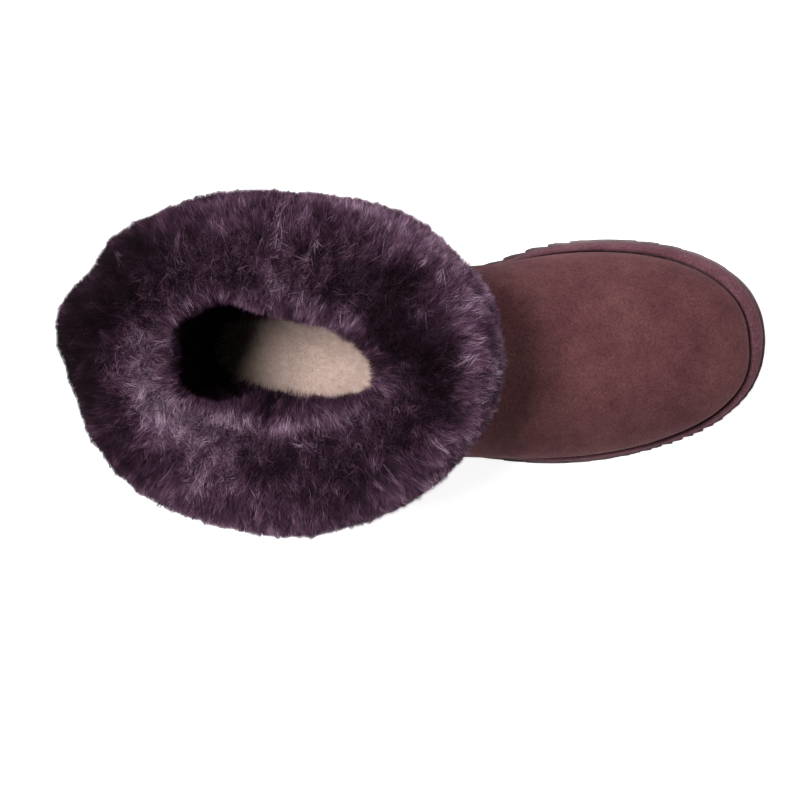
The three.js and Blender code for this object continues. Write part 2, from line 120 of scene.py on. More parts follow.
# How far the fur leans along the hide, towards the inside where it is above 0, by the angle that it faces
LEANS = [
    (-60, -0.65), (0, -0.5), (60, -0.32), (110, -0.3), (140, -0.35), (165, 0.05), (200, 0.5), (260, 0.8),
]
# Painted light and shade on the fur, with some of its own darker tone: the lit flat fur left of the mouth,
# the lit ridge round its lip, the dark inside of the mouth and the darker outer sides. Columns: direction,
# angle that the hide faces, reach of each in degrees, change
PAINTED_LIGHT_AND_SHADE = [
    (170, 35, 40, 60, -0.4), (140, 70, 34, 44, -0.13), (194, 128, 36, 37, 0.38), (212, 105, 26, 36, 0.2),
    (70, 45, 25, 25, 0.05), (40, 25, 26, 22, 0.1), (0, 30, 32, 24, 0.08), (5, 85, 40, 32, -0.16),
    (50, 95, 36, 28, -0.12), (95, 70, 28, 30, -0.06), (215, 155, 22, 14, 0.22), (240, 158, 24, 8, 0.3),
    (278, 159, 26, 7, 0.3), (318, 150, 24, 12, 0.2), (255, 184, 75, 14, -0.34), (265, 212, 75, 24, -0.24),
    (300, 70, 30, 34, -0.14), (245, 40, 22, 26, 0.04), (270, 100, 26, 30, -0.1), (60, 158, 40, 16, 0.08),
]
# Soft folds of the shaft: direction and height of the middle, reach in degrees, how far the ends of the fold
# hang, how far it stands out, or in where it is below 0, and how wide it is
FOLDS = [
    (4, 121, 52, 9, -1.7, 4.2), (8, 112.5, 40, 8, 0.9, 4.5), (10, 104, 44, 10, -1.5, 5),
    (-28, 131, 36, 5, -1, 4.5), (98, 104, 30, 6, -1.1, 8), (-96, 99, 32, 5, -1.2, 8),
    (-60, 116, 26, -6, 0.7, 7), (180, 99, 38, -5, -1.4, 6), (176, 110, 34, -4, 0.7, 5),
    (172, 123, 30, -3, -0.9, 5),
]


# Materials


def linear(code):
    """An sRGB hex colour as a linear one."""
    parts = [int(code[i : i + 2], 16) / 255 for i in (0, 2, 4)]
    return [c / 12.92 if c <= 0.04045 else ((c + 0.055) / 1.055) ** 2.4 for c in parts] + [1]


def scale_of(size):
    """The scale of a pattern whose cells are so many millimetres wide."""
    return 1000 / size


def surface(name, **values):
    """A new material, with its shader's own sockets set."""
    material = bpy.data.materials.new(name)
    material.use_nodes = True
    shader = material.node_tree.nodes["Principled BSDF"]
    for socket, value in values.items():
        shader.inputs[socket.replace("_", " ")].default_value = value
    return material, shader


def set_stops(bar, stops):
    """Puts (place, hex colour) pairs on a colour ramp."""
    while len(bar.elements) < len(stops):
        bar.elements.new(0.5)
    for element, (place, code) in zip(bar.elements, stops):
        element.position = place
        element.color = linear(code)


def add(material, kind, settings=None, **links):
    """A node with its settings, a ramp's stops among them, and its inputs either set or linked from another
    node's output. An input is named, or is i and its number."""
    node = material.node_tree.nodes.new("ShaderNode" + kind)
    for name, value in (settings or {}).items():
        if name == "stops":
            set_stops(node.color_ramp, value)
        else:
            setattr(node, name, value)
    for name, value in links.items():
        numbered = name[0] == "i" and name[1:].isdigit()
        socket = node.inputs[int(name[1:]) if numbered else name.replace("_", " ")]
        if isinstance(value, bpy.types.NodeSocket):
            material.node_tree.links.new(value, socket)
        else:
            socket.default_value = value
    return node


def join(material, output, socket):
    """Links a node's output to a socket."""
    material.node_tree.links.new(output, socket)


def suede(name, dark, mid, light, rough=1):
    """Brushed suede: matt, with a short nap that lies this way and that, so its colour drifts in soft
    patches. It carries painted shade where the piece's own attribute says, in creases and on sides turned
    from the light. A real nap is about 0.2 mm long, too fine to show, so it is drawn at 1 mm."""
    material, shader = surface(
        name,
        Roughness=0.95,
        Specular_IOR_Level=0.06,
        Sheen_Weight=0.06,
        Sheen_Roughness=0.4,
        Sheen_Tint=linear("b8757c"),
    )
    place = add(material, "TexCoord").outputs["Object"]
    patches = add(material, "TexNoise", Vector=place, Scale=scale_of(25), Detail=4, Roughness=0.6)
    stops = [(0.24, dark), (0.5, mid), (0.76, light)]
    colour = add(material, "ValToRGB", {"stops": stops}, Fac=patches.outputs["Fac"])
    strokes = add(material, "TexNoise", Vector=place, Scale=scale_of(4.76), Detail=5, Roughness=0.7)
    nap = add(material, "TexNoise", Vector=place, Scale=scale_of(1), Detail=3, Roughness=0.75)
    lying = {"From_Min": 0.25, "From_Max": 0.75, "To_Min": 0.84, "To_Max": 1.16}
    lie = add(material, "MapRange", Value=strokes.outputs["Fac"], **lying)
    speckled = {"From_Min": 0.3, "From_Max": 0.7, "To_Min": 0.6, "To_Max": 1.4}
    grain = add(material, "MapRange", Value=nap.outputs["Fac"], **speckled)
    both = add(material, "Math", {"operation": "MULTIPLY"}, i0=lie.outputs[0], i1=grain.outputs[0])
    # Painted shade, read from the piece's own attribute
    hollow = add(material, "Attribute", {"attribute_name": "hollow"})
    shade = add(material, "MapRange", Value=hollow.outputs["Fac"], To_Min=1, To_Max=0.2)
    all_three = add(material, "Math", {"operation": "MULTIPLY"}, i0=both.outputs[0], i1=shade.outputs[0])
    scaled = {"operation": "SCALE"}
    tone = add(material, "VectorMath", scaled, i0=colour.outputs["Color"], Scale=all_three.outputs[0])
    join(material, tone.outputs[0], shader.inputs["Base Color"])
    bump = add(material, "Bump", Height=nap.outputs["Fac"], Strength=0.7, Distance=0.0005 * rough)
    join(material, bump.outputs["Normal"], shader.inputs["Normal"])
    return material


def pile(name, stops, root):
    """Wool: soft and faintly glossy. Each fibre has its own tint, across the map, and painted shade darkens
    it towards its root, down the map, for the shade among the fibres, so the fleece looks deep."""
    material, shader = surface(name, Roughness=0.8, Specular_IOR_Level=0.06)
    place = add(material, "UVMap", {"uv_map": "OFBake"}).outputs["UV"]
    parts = add(material, "SeparateXYZ", Vector=place)
    colour = add(material, "ValToRGB", {"stops": stops}, Fac=parts.outputs["X"])
    painted_root_shade = {"From_Min": 0.2, "From_Max": 0.92, "To_Min": root, "To_Max": 1}
    # Painted shade among the fibres: darker towards each root
    depth = add(material, "MapRange", Value=parts.outputs["Y"], **painted_root_shade)
    scaled = {"operation": "SCALE"}
    tone = add(material, "VectorMath", scaled, i0=colour.outputs["Color"], Scale=depth.outputs[0])
    join(material, tone.outputs[0], shader.inputs["Base Color"])
    return material


def felted(name, dark, light, size, depth=1):
    """The matted bottom of a fleece, which shows between its fibres as dull curls, with shallow creases over
    them."""
    material, shader = surface(name, Roughness=1, Specular_IOR_Level=0.1)
    place = add(material, "TexCoord").outputs["Object"]
    curls = add(material, "TexNoise", Vector=place, Scale=scale_of(size), Detail=3, Roughness=0.6)
    colour = add(material, "ValToRGB", {"stops": [(0.3, dark), (0.7, light)]}, Fac=curls.outputs["Fac"])
    join(material, colour.outputs["Color"], shader.inputs["Base Color"])
    bump = add(material, "Bump", Height=curls.outputs["Fac"], Strength=0.7, Distance=0.001 * depth)
    worn = add(material, "TexNoise", Vector=place, Scale=scale_of(7.7 * size), Detail=2, Distortion=1.5)
    creases = add(material, "Bump", Height=worn.outputs["Fac"], Distance=0.002, Normal=bump.outputs["Normal"])
    join(material, creases.outputs["Normal"], shader.inputs["Normal"])
    return material


def foam(name, dark, light):
    """Moulded sole foam: matt and a little uneven in tone, with the fine closed cells of its skin. Real cells
    are about 0.3 mm wide, too fine to show, so they are drawn at 1.1 mm."""
    material, shader = surface(name, Roughness=0.7, Specular_IOR_Level=0.35)
    place = add(material, "TexCoord").outputs["Object"]
    drift = add(material, "TexNoise", Vector=place, Scale=scale_of(25), Detail=4, Roughness=0.6)
    colour = add(material, "ValToRGB", {"stops": [(0.35, dark), (0.68, light)]}, Fac=drift.outputs["Fac"])
    join(material, colour.outputs["Color"], shader.inputs["Base Color"])
    cells = add(material, "TexVoronoi", Vector=place, Scale=scale_of(1.11))
    bump = add(material, "Bump", Height=cells.outputs["Distance"], Strength=0.25, Distance=0.0003)
    join(material, bump.outputs["Normal"], shader.inputs["Normal"])
    return material


def thread(name, dark, light):
    """Bonded polyester thread: smooth and faintly glossy, its twist a change of tone alone. A real twist is
    about 0.4 mm long, so it is drawn at 1.1 mm to show."""
    material, shader = surface(name, Roughness=0.5)
    place = add(material, "TexCoord").outputs["Object"]
    twist = add(material, "TexNoise", Vector=place, Scale=scale_of(1.11), Detail=1)
    colour = add(material, "ValToRGB", {"stops": [(0.3, dark), (0.7, light)]}, Fac=twist.outputs["Fac"])
    join(material, colour.outputs["Color"], shader.inputs["Base Color"])
    return material


def paper(name, code):
    """The backdrop: matt white studio paper with a fine tooth, lit from behind so that shadows on it stay
    faint."""
    material, shader = surface(
        name,
        Base_Color=linear(code),
        Roughness=1,
        Specular_IOR_Level=0,
        Emission_Color=linear(code),
        Emission_Strength=0.85,
    )
    place = add(material, "TexCoord").outputs["Object"]
    tooth = add(material, "TexNoise", Vector=place, Scale=scale_of(1.11), Detail=2)
    bump = add(material, "Bump", Height=tooth.outputs["Fac"], Strength=0.1, Distance=0.0001)
    join(material, bump.outputs["Normal"], shader.inputs["Normal"])
    return material


FUR_TONES = [(0, "0e050a"), (0.25, "25151f"), (0.5, "452d3f"), (0.75, "7b5b71"), (1, "b89cb2")]
CREAM_TONES = [(0, "a4877a"), (0.4, "b9a399"), (1, "c7bab3")]

# Vamp and shaft: fine and even, with a brown warmth
vamp_suede = suede("plum_brown_suede", "43252a", "513134", "5c3b3c")
# Band and heel patch: rougher and a shade rosier
band_suede = suede("mauve_brown_suede", "472a30", "5c3b43", "6c4a51", 2.5)
# Cuff and lining: deep plum wool with pale tips, and roots painted almost black for the shade among the
# fibres
dyed_fur = pile("dyed_shearling", FUR_TONES, 0.22)
# Its undercoat: nearly black, far darker than the dyed wool, painted shade deep in the fur and behind the
# shaft's fleece
dyed_felt = felted("dyed_undercoat", "0c070b", "21161e", 3)
# Footbed: undyed wool, warm and nearly even in tone
cream_fleece = pile("cream_fleece", CREAM_TONES, 0.85)
cream_felt = felted("cream_undercoat", "a98f84", "bda89e", 3, 0.3)
# Sole: a dusty mauve grey
sole_foam = foam("moulded_sole_foam", "4d4042", "726165")
# Stitches: a little lighter than the suede
seam_thread = thread("plum_thread", "3a2427", "6b4a4e")
backdrop_paper = paper("backdrop_paper", "f4f4f4")


# Lines and grids of points


def unit(vectors):
    """Vectors at length 1."""
    return vectors / np.maximum(np.linalg.norm(vectors, axis=-1, keepdims=True), 1e-9)


def eased(share):
    """A share from 0 to 1 that sets off and ends gently."""
    return share * share * (3 - 2 * share)


def bell(*distances):
    """1 in the middle of a soft spot and less the further off, each distance as a share of the spot's
    reach."""
    return np.exp(-sum(distance**2 for distance in distances))


def direction_of(points, middle=SHAFT_MIDDLE):
    """The directions in which points lie from an upright line."""
    arm = points - middle
    return np.degrees(np.arctan2(arm[..., 1], arm[..., 0]))


def turned(places, direction):
    """How far directions are turned from one direction, from -180 to 180."""
    return (places - direction + 180) % 360 - 180


def level_ways(columns):
    """Level ways in even steps all round."""
    turn = np.linspace(0, 2 * np.pi, columns, endpoint=False)
    return np.stack([np.cos(turn), np.sin(turn), 0 * turn], axis=-1)


def outwards_of(loop):
    """The level outward way at each point of a closed loop."""
    along = np.roll(loop, -1, axis=0) - np.roll(loop, 1, axis=0)
    return unit(np.stack([along[:, 1], -along[:, 0], 0 * along[:, 0]], axis=-1))


def frame_of(rows, towards):
    """The way out of a grid of points, on the side that the given ways point to, and the ways along and
    across the grid."""
    along = np.gradient(rows, axis=0)
    across = np.roll(rows, -1, axis=1) - np.roll(rows, 1, axis=1)
    out = unit(np.cross(across, along))
    if (out * towards).sum() < 0:
        out = -out
    return out, unit(along), unit(across)


def blurred(rows, spread, axis, closed):
    """Points smoothed along one way of their grid."""
    reach = int(3 * spread)
    weights = np.exp(-0.5 * (np.arange(-reach, reach + 1) / spread) ** 2)
    weights /= weights.sum()
    count = rows.shape[axis]
    total = np.zeros_like(rows)
    for step, weight in zip(range(-reach, reach + 1), weights):
        index = np.arange(count) + step
        index = index % count if closed else np.clip(index, 0, count - 1)
        total += weight * np.take(rows, index, axis)
    return total


def lengths_along(points):
    """How far along a line each of its points lies."""
    return np.concatenate([[0], np.cumsum(np.linalg.norm(np.diff(points, axis=0), axis=1))])


def stepped(rows, run, steps):
    """What goes with the points of a line, at other steps along it."""
    return np.stack([np.interp(steps, run, rows[:, k]) for k in range(3)], axis=-1)


def at_rows(rows, places):
    """A grid's rows at places between its own ones."""
    low = np.minimum(places.astype(int), len(rows) - 2)
    share = (places - low)[:, None, None]
    return rows[low] * (1 - share) + rows[low + 1] * share


def at(rows, row, column):
    """A grid's value between its points, for a grid that is closed round its rows."""
    i, j = np.minimum(row.astype(int), rows.shape[0] - 2), column.astype(int)
    up, right = (row - i)[:, None], (column - j)[:, None]
    j, k = j % rows.shape[1], (j + 1) % rows.shape[1]
    near = rows[i, j] * (1 - right) + rows[i, k] * right
    far = rows[i + 1, j] * (1 - right) + rows[i + 1, k] * right
    return near * (1 - up) + far * up


def mottle(across, along, columns, rows):
    """A soft random field, closed the first way round, about 0 with a spread of about 1."""
    values = chance.normal(size=(columns, rows + 2))
    x = (across % 1) * columns
    y = np.clip(along, 0, 1) * rows
    i, j = x.astype(int), np.minimum(y.astype(int), rows)
    right, up = eased(x - i), eased(y - j)
    near, far = i % columns, (i + 1) % columns
    low = values[near, j] * (1 - right) + values[far, j] * right
    high = values[near, j + 1] * (1 - right) + values[far, j + 1] * right
    return low * (1 - up) + high * up


def scattered(count, rows, weights):
    """Random spots on a grid of points, even over its area, as the row and column each lies at."""
    side = np.linalg.norm(np.diff(rows, axis=0), axis=-1)
    width = np.linalg.norm(np.roll(rows, -1, axis=1) - rows, axis=-1)[:-1]
    area = (side * width * weights[:-1, None]).ravel()
    cell = chance.choice(area.size, count, p=area / area.sum())
    row, column = np.divmod(cell, rows.shape[1])
    return row + chance.random(count), column + chance.random(count)


def gathered(across, along, columns, rows, pull):
    """How far each spot is drawn to the middle of the tuft that it belongs to, and the tuft's own number."""
    jitter = chance.random((columns, rows, 2))
    x, y = across * columns, along * rows
    best, offset, tuft = np.full(len(x), 9.0), np.zeros((len(x), 2)), np.zeros(len(x), int)
    for di in (-1, 0, 1):
        for dj in (-1, 0, 1):
            i = np.floor(x).astype(int) + di
            j = np.clip(np.floor(y).astype(int) + dj, 0, rows - 1)
            spot = jitter[i % columns, j]
            dx, dy = i + spot[:, 0] - x, j + spot[:, 1] - y
            gap = dx * dx + dy * dy
            closer = gap < best
            best = np.where(closer, gap, best)
            offset[closer] = np.stack([dx / columns, dy / rows], axis=-1)[closer]
            tuft = np.where(closer, (i % columns) * rows + j, tuft)
    return offset * pull, tuft


# Meshes


def finished(name, mesh, material, node=None):
    """A piece of the boot at the origin, on the boot's one body."""
    piece = bpy.data.objects.new(name, mesh)
    bpy.context.scene.collection.objects.link(piece)
    mesh.materials.clear()
    mesh.materials.append(material)
    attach(piece, "root")
    if node:
        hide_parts(node)


def points_of(mesh):
    """A mesh's points, in millimetres."""
    flat = np.empty(len(mesh.vertices) * 3, np.float32)
    mesh.vertices.foreach_get("co", flat)
    return flat.reshape(-1, 3).astype(float) * 1000


def moved(mesh, points):
    """Puts a mesh's points elsewhere."""
    mesh.vertices.foreach_set("co", (points / 1000).astype(np.float32).ravel())
    mesh.update()


def skin_of(mesh):
    """A mesh's surface to cast rays at."""
    return BVHTree.FromPolygons(points_of(mesh).tolist(), [tuple(p.vertices) for p in mesh.polygons])


def hits(skin, starts, ways):
    """Where each ray first meets a surface, or nan where it misses."""
    found = np.full(starts.shape, np.nan)
    for i, (start, way) in enumerate(zip(starts.tolist(), ways.tolist())):
        spot = skin.ray_cast(start, way)[0]
        if spot:
            found[i] = spot
    return found


def met(skin, starts, ways):
    """Where rays first meet a surface, and the surface's outward way there, without the rays that miss."""
    spots, outs = [], []
    for start, way in zip(starts.tolist(), ways.tolist()):
        spot, out = skin.ray_cast(start, way)[:2]
        if spot:
            spots.append(spot)
            outs.append(out if out.dot(Vector(way)) < 0 else -out)
    return np.array(spots), np.array(outs)


def away(skin, points):
    """How far points are from a surface."""
    return np.array([skin.find_nearest(point)[3] for point in points.tolist()])


def smooth_copy(node, rounds):
    """A copy of a node, merged, joined into quads and subdivided."""
    shape = bmesh.new()
    shape.from_mesh(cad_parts[node].data)
    bmesh.ops.remove_doubles(shape, verts=shape.verts, dist=1e-6)
    bend = math.radians(60)
    bmesh.ops.join_triangles(
        shape, faces=shape.faces, angle_face_threshold=bend, angle_shape_threshold=bend
    )
    mesh = bpy.data.meshes.new(node)
    shape.to_mesh(mesh)
    shape.free()
    holder = bpy.data.objects.new(node, mesh)
    bpy.context.scene.collection.objects.link(holder)
    divide = holder.modifiers.new("rounded", "SUBSURF")
    divide.levels = divide.render_levels = rounds
    bpy.context.view_layer.update()
    done = bpy.data.meshes.new_from_object(holder.evaluated_get(bpy.context.evaluated_depsgraph_get()))
    bpy.data.objects.remove(holder)
    done.shade_smooth()
    return done


def wrapped(name, rows, ring=True):
    """A closed skin through rows of points, each row a closed loop. The last row is next to the first, or
    where it isn't a ring, both ends are capped."""
    rows = np.concatenate([rows, rows[:1]]) if ring else rows
    closed = np.concatenate([rows, rows[:, :1]], axis=1)
    shape = bmesh.new()
    bmesh.ops.create_grid(shape, x_segments=rows.shape[1], y_segments=len(rows) - 1, size=1)
    mesh = bpy.data.meshes.new(name)
    shape.to_mesh(mesh)
    moved(mesh, closed)
    shape.clear()
    shape.from_mesh(mesh)
    bmesh.ops.remove_doubles(shape, verts=shape.verts, dist=1e-6)
    if not ring:
        bmesh.ops.holes_fill(shape, edges=shape.edges)
    bmesh.ops.recalc_face_normals(shape, faces=shape.faces)
    shape.to_mesh(mesh)
    shape.free()
    mesh.shade_smooth()
    return mesh


def hairs(name, roots, tips, sides, width, tint):
    """Fine hairs, each a thin flat sliver from its root to its point, with its tint across the map and its
    length up it."""
    count = len(roots)
    half = (width / 2) * sides
    corners = np.stack([roots - half, roots + half, tips], axis=1)
    mesh = bpy.data.meshes.new(name)
    mesh.vertices.add(count * 3)
    mesh.loops.add(count * 3)
    mesh.loops.foreach_set("vertex_index", np.arange(count * 3, dtype=np.int32))
    mesh.polygons.add(count)
    mesh.polygons.foreach_set("loop_start", np.arange(0, count * 3, 3, dtype=np.int32))
    moved(mesh, corners)
    mesh.update(calc_edges=True)
    layer = mesh.uv_layers.new(name="OFBake")
    middle = np.clip(tint, 0.02, 0.98)
    places = [(middle - 0.01, 0.02), (middle + 0.01, 0.02), (middle, 0.98)]
    flat = np.stack([np.stack([across, np.full(count, up)], axis=-1) for across, up in places], axis=1)
    layer.data.foreach_set("uv", flat.astype(np.float32).ravel())
    return mesh


def flat_sides(out, way):
    """The way across each hair's flat side, turned a little at random."""
    return unit(unit(np.cross(out, way)) + out * (0.6 * chance.normal(size=len(out)))[:, None])


# Fur cuff


def wall_loops(heights, columns):
    """Points round the middle of the shaft's wall at each height, and the level outward way at each."""
    wall = skin_of(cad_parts["upper"].data)
    base, outward = [], []
    for height in heights:
        starts = np.tile(SHAFT_MIDDLE + [0, 0, min(height, FOLD_HEIGHT - 0.5)], (columns, 1))
        loop = blurred(hits(wall, starts, level_ways(columns)), 4, 0, True)
        loop[:, 2] = height
        out = outwards_of(loop)
        base.append(loop + out * WALL / 2)
        outward.append(out)
    return np.array(base), np.array(outward)


def swelled(spots, outward, angles):
    """The cuff's surface with the swells of its outside."""
    places = np.linspace(0, 360, spots.shape[1], endpoint=False)
    swell = blurred(np.interp(places, *zip(*SWELLS), period=360), 2, 0, True)
    share = np.interp(angles, [-85, -30, 60, 100], [0.5, 1, 1, 0])
    return spots + outward * (swell * share[:, None])[..., None]


def opened(spots, angles):
    """The cuff's surface with its mouth as open as the tables of its lip and of its deeper fur say."""
    arm = (spots - SHAFT_MIDDLE) * [1, 1, 0]
    place = direction_of(spots) % 360
    radius = np.linalg.norm(arm, axis=-1)
    sector_wide = 4
    change = np.zeros_like(radius)
    for table, low, high, shares in (
        (LIP, 150, 166, [0, 1, 1, 0, 0, 0]),
        (DEEP, 176, 215, [0, 0, 0, 1, 1, 0.5]),
    ):
        here = (angles >= low) & (angles <= high)
        sector = (place[here] // sector_wide).astype(int)
        now = np.array([np.median(radius[here][sector == k]) for k in range(360 // sector_wide)])
        middles = np.arange(sector_wide / 2, 360, sector_wide)
        now = np.interp(place, middles, blurred(now, 1, 0, True), period=360)
        wanted = np.interp(place, *zip(*table), period=360)
        change += (wanted - now) * np.interp(angles, [95, 152, 165, 182, 230, 265], shares)[:, None]
    return spots + unit(arm) * blurred(change, 3, 1, True)[..., None]


def cuff_rows(columns=400, spacing=1.4):
    """The cuff's surface: columns round the boot, each from the bottom of the outside over the fold to the
    bottom of the inside. With it go the base on the wall that each spot grows from and the angle that each
    row faces."""
    steps = np.linspace(0, len(HIDE) - 1, 121)
    heights, angles = [np.interp(steps, np.arange(len(HIDE)), values) for values in zip(*HIDE)]
    base, outward = wall_loops(heights, columns)
    tilt = np.radians(angles)[:, None, None]
    ways = outward * np.cos(tilt) + np.array([0, 0, 1.0]) * np.sin(tilt)
    reach = np.interp(angles, [-90, 0, 90, 180, 270], [45, 60, 60, 36, 36])[:, None, None]
    skin = skin_of(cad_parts["cuff"].data)
    spots = hits(skin, (base + ways * reach).reshape(-1, 3), -ways.reshape(-1, 3)).reshape(base.shape)
    missed = np.isnan(spots[..., 0])
    spots[missed] = (base + ways * 12)[missed]
    spots = blurred(blurred(spots, 7, 1, True), 2.5, 0, False)
    spots = opened(swelled(spots, outward, angles), angles)
    length = np.linalg.norm(np.diff(spots, axis=0), axis=-1).mean(axis=1)
    run = np.concatenate([[0], np.cumsum(length)])
    places = np.interp(np.linspace(0, run[-1], int(run[-1] / spacing)), run, np.arange(len(run)))
    return at_rows(spots, places), at_rows(base, places), np.interp(places, np.arange(len(angles)), angles)


def cuff_undercoat(rows, base, out):
    """The matted wool under the tips of the fur, on the outside and inside of the shaft's wall."""
    near_wall = base + unit(rows - base) * (WALL / 2 + 0.6)
    return wrapped("cuff", np.concatenate([(rows - out * UNDERCOAT_DEPTH)[::2, ::2], near_wall[::-3, ::2]]))


def cuff_fur(count, name):
    """Clipped fur: it stands up off the hide, leans away from the mouth and gathers in soft tufts."""
    rows, columns = fur_rows.shape[:2]
    weights = np.interp(fur_angles, [-80, -20, 0, 180, 200, 260], [0.5, 0.9, 1, 1, 0.9, 0.4])
    row, column = scattered(count, fur_rows, weights)
    share_over, share_round = row / (rows - 1), column / columns
    spot, out = at(fur_rows, row, column), unit(at(fur_out, row, column))
    along, across = unit(at(fur_along, row, column)), unit(at(fur_across, row, column))
    angle = np.interp(row, np.arange(rows), fur_angles)
    place = direction_of(spot) % 360

    def drift(patches_round, patches_over):
        return mottle(share_round, share_over, patches_round, patches_over)

    lean = np.interp(angle, *zip(*LEANS)) + 0.2 * drift(24, 9) + 0.24 * drift(80, 30)
    lean = lean - 0.45 * bell((place - 202) / 34, (angle - 125) / 28) + 0.24 * chance.normal(size=count)
    swirl = 0.22 * drift(24, 9) + 0.26 * drift(80, 30) + 0.26 * chance.normal(size=count)
    comb = along * lean[:, None] + across * swirl[:, None]
    slope = np.clip(np.linalg.norm(comb, axis=1), 0.05, 1.1)
    way = unit(out * np.cos(slope)[:, None] + unit(comb) * np.sin(slope)[:, None])
    shift, tuft = gathered(share_round, share_over, TUFTS_ROUND, TUFTS_OVER, 0.3)
    levels = chance.normal(size=TUFTS_ROUND * TUFTS_OVER)[tuft]
    height = 0.4 + 0.42 * levels + 0.25 * chance.normal(size=count) - 3 * chance.random(count) ** 3
    height = height + 0.5 * drift(96, 30)
    locks = 0.32 * drift(150, 3) + 0.42 * drift(360, 4)
    height = height + locks * np.interp(angle, [30, 100], [1, 0.2])
    tip = spot + out * height[:, None]
    tip = tip + across * (shift[:, :1] * CUFF_ROUND) + along * (shift[:, 1:] * CUFF_OVER)
    length = np.clip(FUR_LENGTH + 1.3 * chance.normal(size=count), 5, 12)
    to_undercoat = (UNDERCOAT_DEPTH + 2.5) / np.maximum(np.cos(slope), 0.4)
    root = tip - way * np.minimum(length, to_undercoat)[:, None]
    side = flat_sides(out, way)
    tint = 0.44 + 0.06 * drift(13, 6) + 0.13 * drift(40, 16) + 0.1 * drift(120, 46)
    tint = tint + 0.1 * levels + 0.08 * chance.normal(size=count)
    # Painted light and shade: each spot of the table lightens or darkens the fibres' tint
    for direction, over, wide, high, change in PAINTED_LIGHT_AND_SHADE:
        tint = tint + change * bell(turned(place, direction) / wide, (angle - over) / high)
    return hairs(name, root, tip, side, FUR_WIDTH, tint)


fur_rows, fur_base, fur_angles = cuff_rows()
fur_out, fur_along, fur_across = frame_of(fur_rows, fur_rows - fur_base)
undercoat_mesh = cuff_undercoat(fur_rows, fur_base, fur_out)
finished("cuff_undercoat", undercoat_mesh, dyed_felt, "cuff")
for part in range(3):
    fur_mesh = cuff_fur(CUFF_HAIRS // 3, f"fur_{part + 1}")
    finished(f"cuff_fur_{part + 1}", fur_mesh, dyed_fur, "cuff")


# Fleece inside the shaft


def lining_rows(columns=160):
    """The inside of the upper's wall, a row of points round it at each height."""
    wall = skin_of(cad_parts["upper"].data)
    rows = []
    for height in np.arange(152, 33, -3.0):
        middle = SHAFT_MIDDLE + [0, 0, height]
        row = hits(wall, np.tile(middle, (columns, 1)), level_ways(columns))
        rows.append(middle + blurred(row - middle, 1, 0, True))
    return np.array(rows)


def shaft_fleece(count, name):
    """The fleece on the inside of the shaft, combed downwards by the foot."""
    rows, columns = lining_wall.shape[:2]
    weights = np.interp(lining_wall[:, 0, 2], [36, 70, 100], [0.2, 0.6, 1])
    row, column = scattered(count, lining_wall, weights)
    spot, out = at(lining_wall, row, column), unit(at(lining_out, row, column))
    along, across = unit(at(lining_along, row, column)), unit(at(lining_across, row, column))

    def drift(patches_round, patches_down):
        return mottle(column / columns, row / rows, patches_round, patches_down)

    lean = 0.7 + 0.3 * drift(40, 14) + 0.25 * chance.normal(size=count)
    swirl = 0.4 * drift(40, 14) + 0.25 * chance.normal(size=count)
    way = unit(out + along * lean[:, None] + across * swirl[:, None])
    root = spot + out * 2
    length = np.clip(FLEECE_LENGTH + chance.normal(size=count), 6, 12)[:, None]
    side = flat_sides(out, way)
    tint = 0.4 + 0.1 * drift(30, 12) + 0.1 * chance.normal(size=count)
    return hairs(name, root, root + way * length, side, FLEECE_WIDTH, tint)


lining_wall = lining_rows()
lining_out, lining_along, lining_across = frame_of(lining_wall, (SHAFT_MIDDLE - lining_wall) * [1, 1, 0])
near_wall, off_wall = lining_wall + 0.7 * lining_out, lining_wall + 3 * lining_out
backing_mesh = wrapped("backing", np.concatenate([near_wall, off_wall[::-1]]))
finished("shaft_fleece_backing", backing_mesh, dyed_felt, "upper")
finished("shaft_fleece", shaft_fleece(LINING_HAIRS, "fleece"), dyed_fur, "upper")


# Upper, band, heel patch and insole


def store_painted_shade(mesh, values):
    """Stores the painted shade on a piece's suede at each point, from 0 to 1."""
    layer = mesh.attributes.new("hollow", "FLOAT", "POINT")
    layer.data.foreach_set("value", values.astype(np.float32))


def creased(points):
    """The shaft's soft folds, pressed in where the ankle bends and where the shaft sags."""
    arm = (points - SHAFT_MIDDLE) * [1, 1, 0]
    depth = np.zeros(len(points))
    for direction, height, reach, hang, deep, wide in FOLDS:
        turn = turned(direction_of(points), direction) / reach
        level = (points[:, 2] - height + hang * turn**2) / wide
        depth += deep * np.exp(-(turn**2) - level**2 / 2)
    return points + unit(arm) * depth[:, None]


def folded_upper():
    """Vamp and shaft with their folds."""
    mesh = smooth_copy("upper", 2)
    moved(mesh, creased(points_of(mesh)))
    return mesh


def tucked_band(upper_skin):
    """The suede band, its top edge sunk in against the upper with painted shade in the crease, both most of
    all at the outer side of the toe, and painted shade along its outer side, which lies under the bulge of
    the vamp."""
    mesh = smooth_copy("foxing", 2)
    points = points_of(mesh)
    gap = away(upper_skin, points)
    outer_toe = bell((direction_of(points, TOE_MIDDLE) + 38) / 20)
    edge = points[:, 2] > np.interp(points[:, 0], [SPRING_START, SOLE_TOE], [21, 28])
    sink = (1.4 + 2.4 * outer_toe) * bell(gap / (1.2 + 0.7 * outer_toe))
    swell = 0.5 * bell((gap - 3) / 1.4)
    # Painted shade in the crease against the upper
    painted_crease_shade = (0.6 + 0.4 * outer_toe) * bell(gap / (1.5 + 0.6 * outer_toe))
    # Painted shade along the outer side, under the bulge of the vamp
    painted_side_shade = 0.28 * np.interp(points[:, 1], [-35, -20], [1, 0]) * np.interp(points[:, 0], [125, 165], [1, 0])
    store_painted_shade(mesh, np.maximum(np.where(edge, painted_crease_shade, 0), painted_side_shade))
    points[:, 2] += np.where(edge, swell - sink, 0)
    moved(mesh, points)
    return mesh


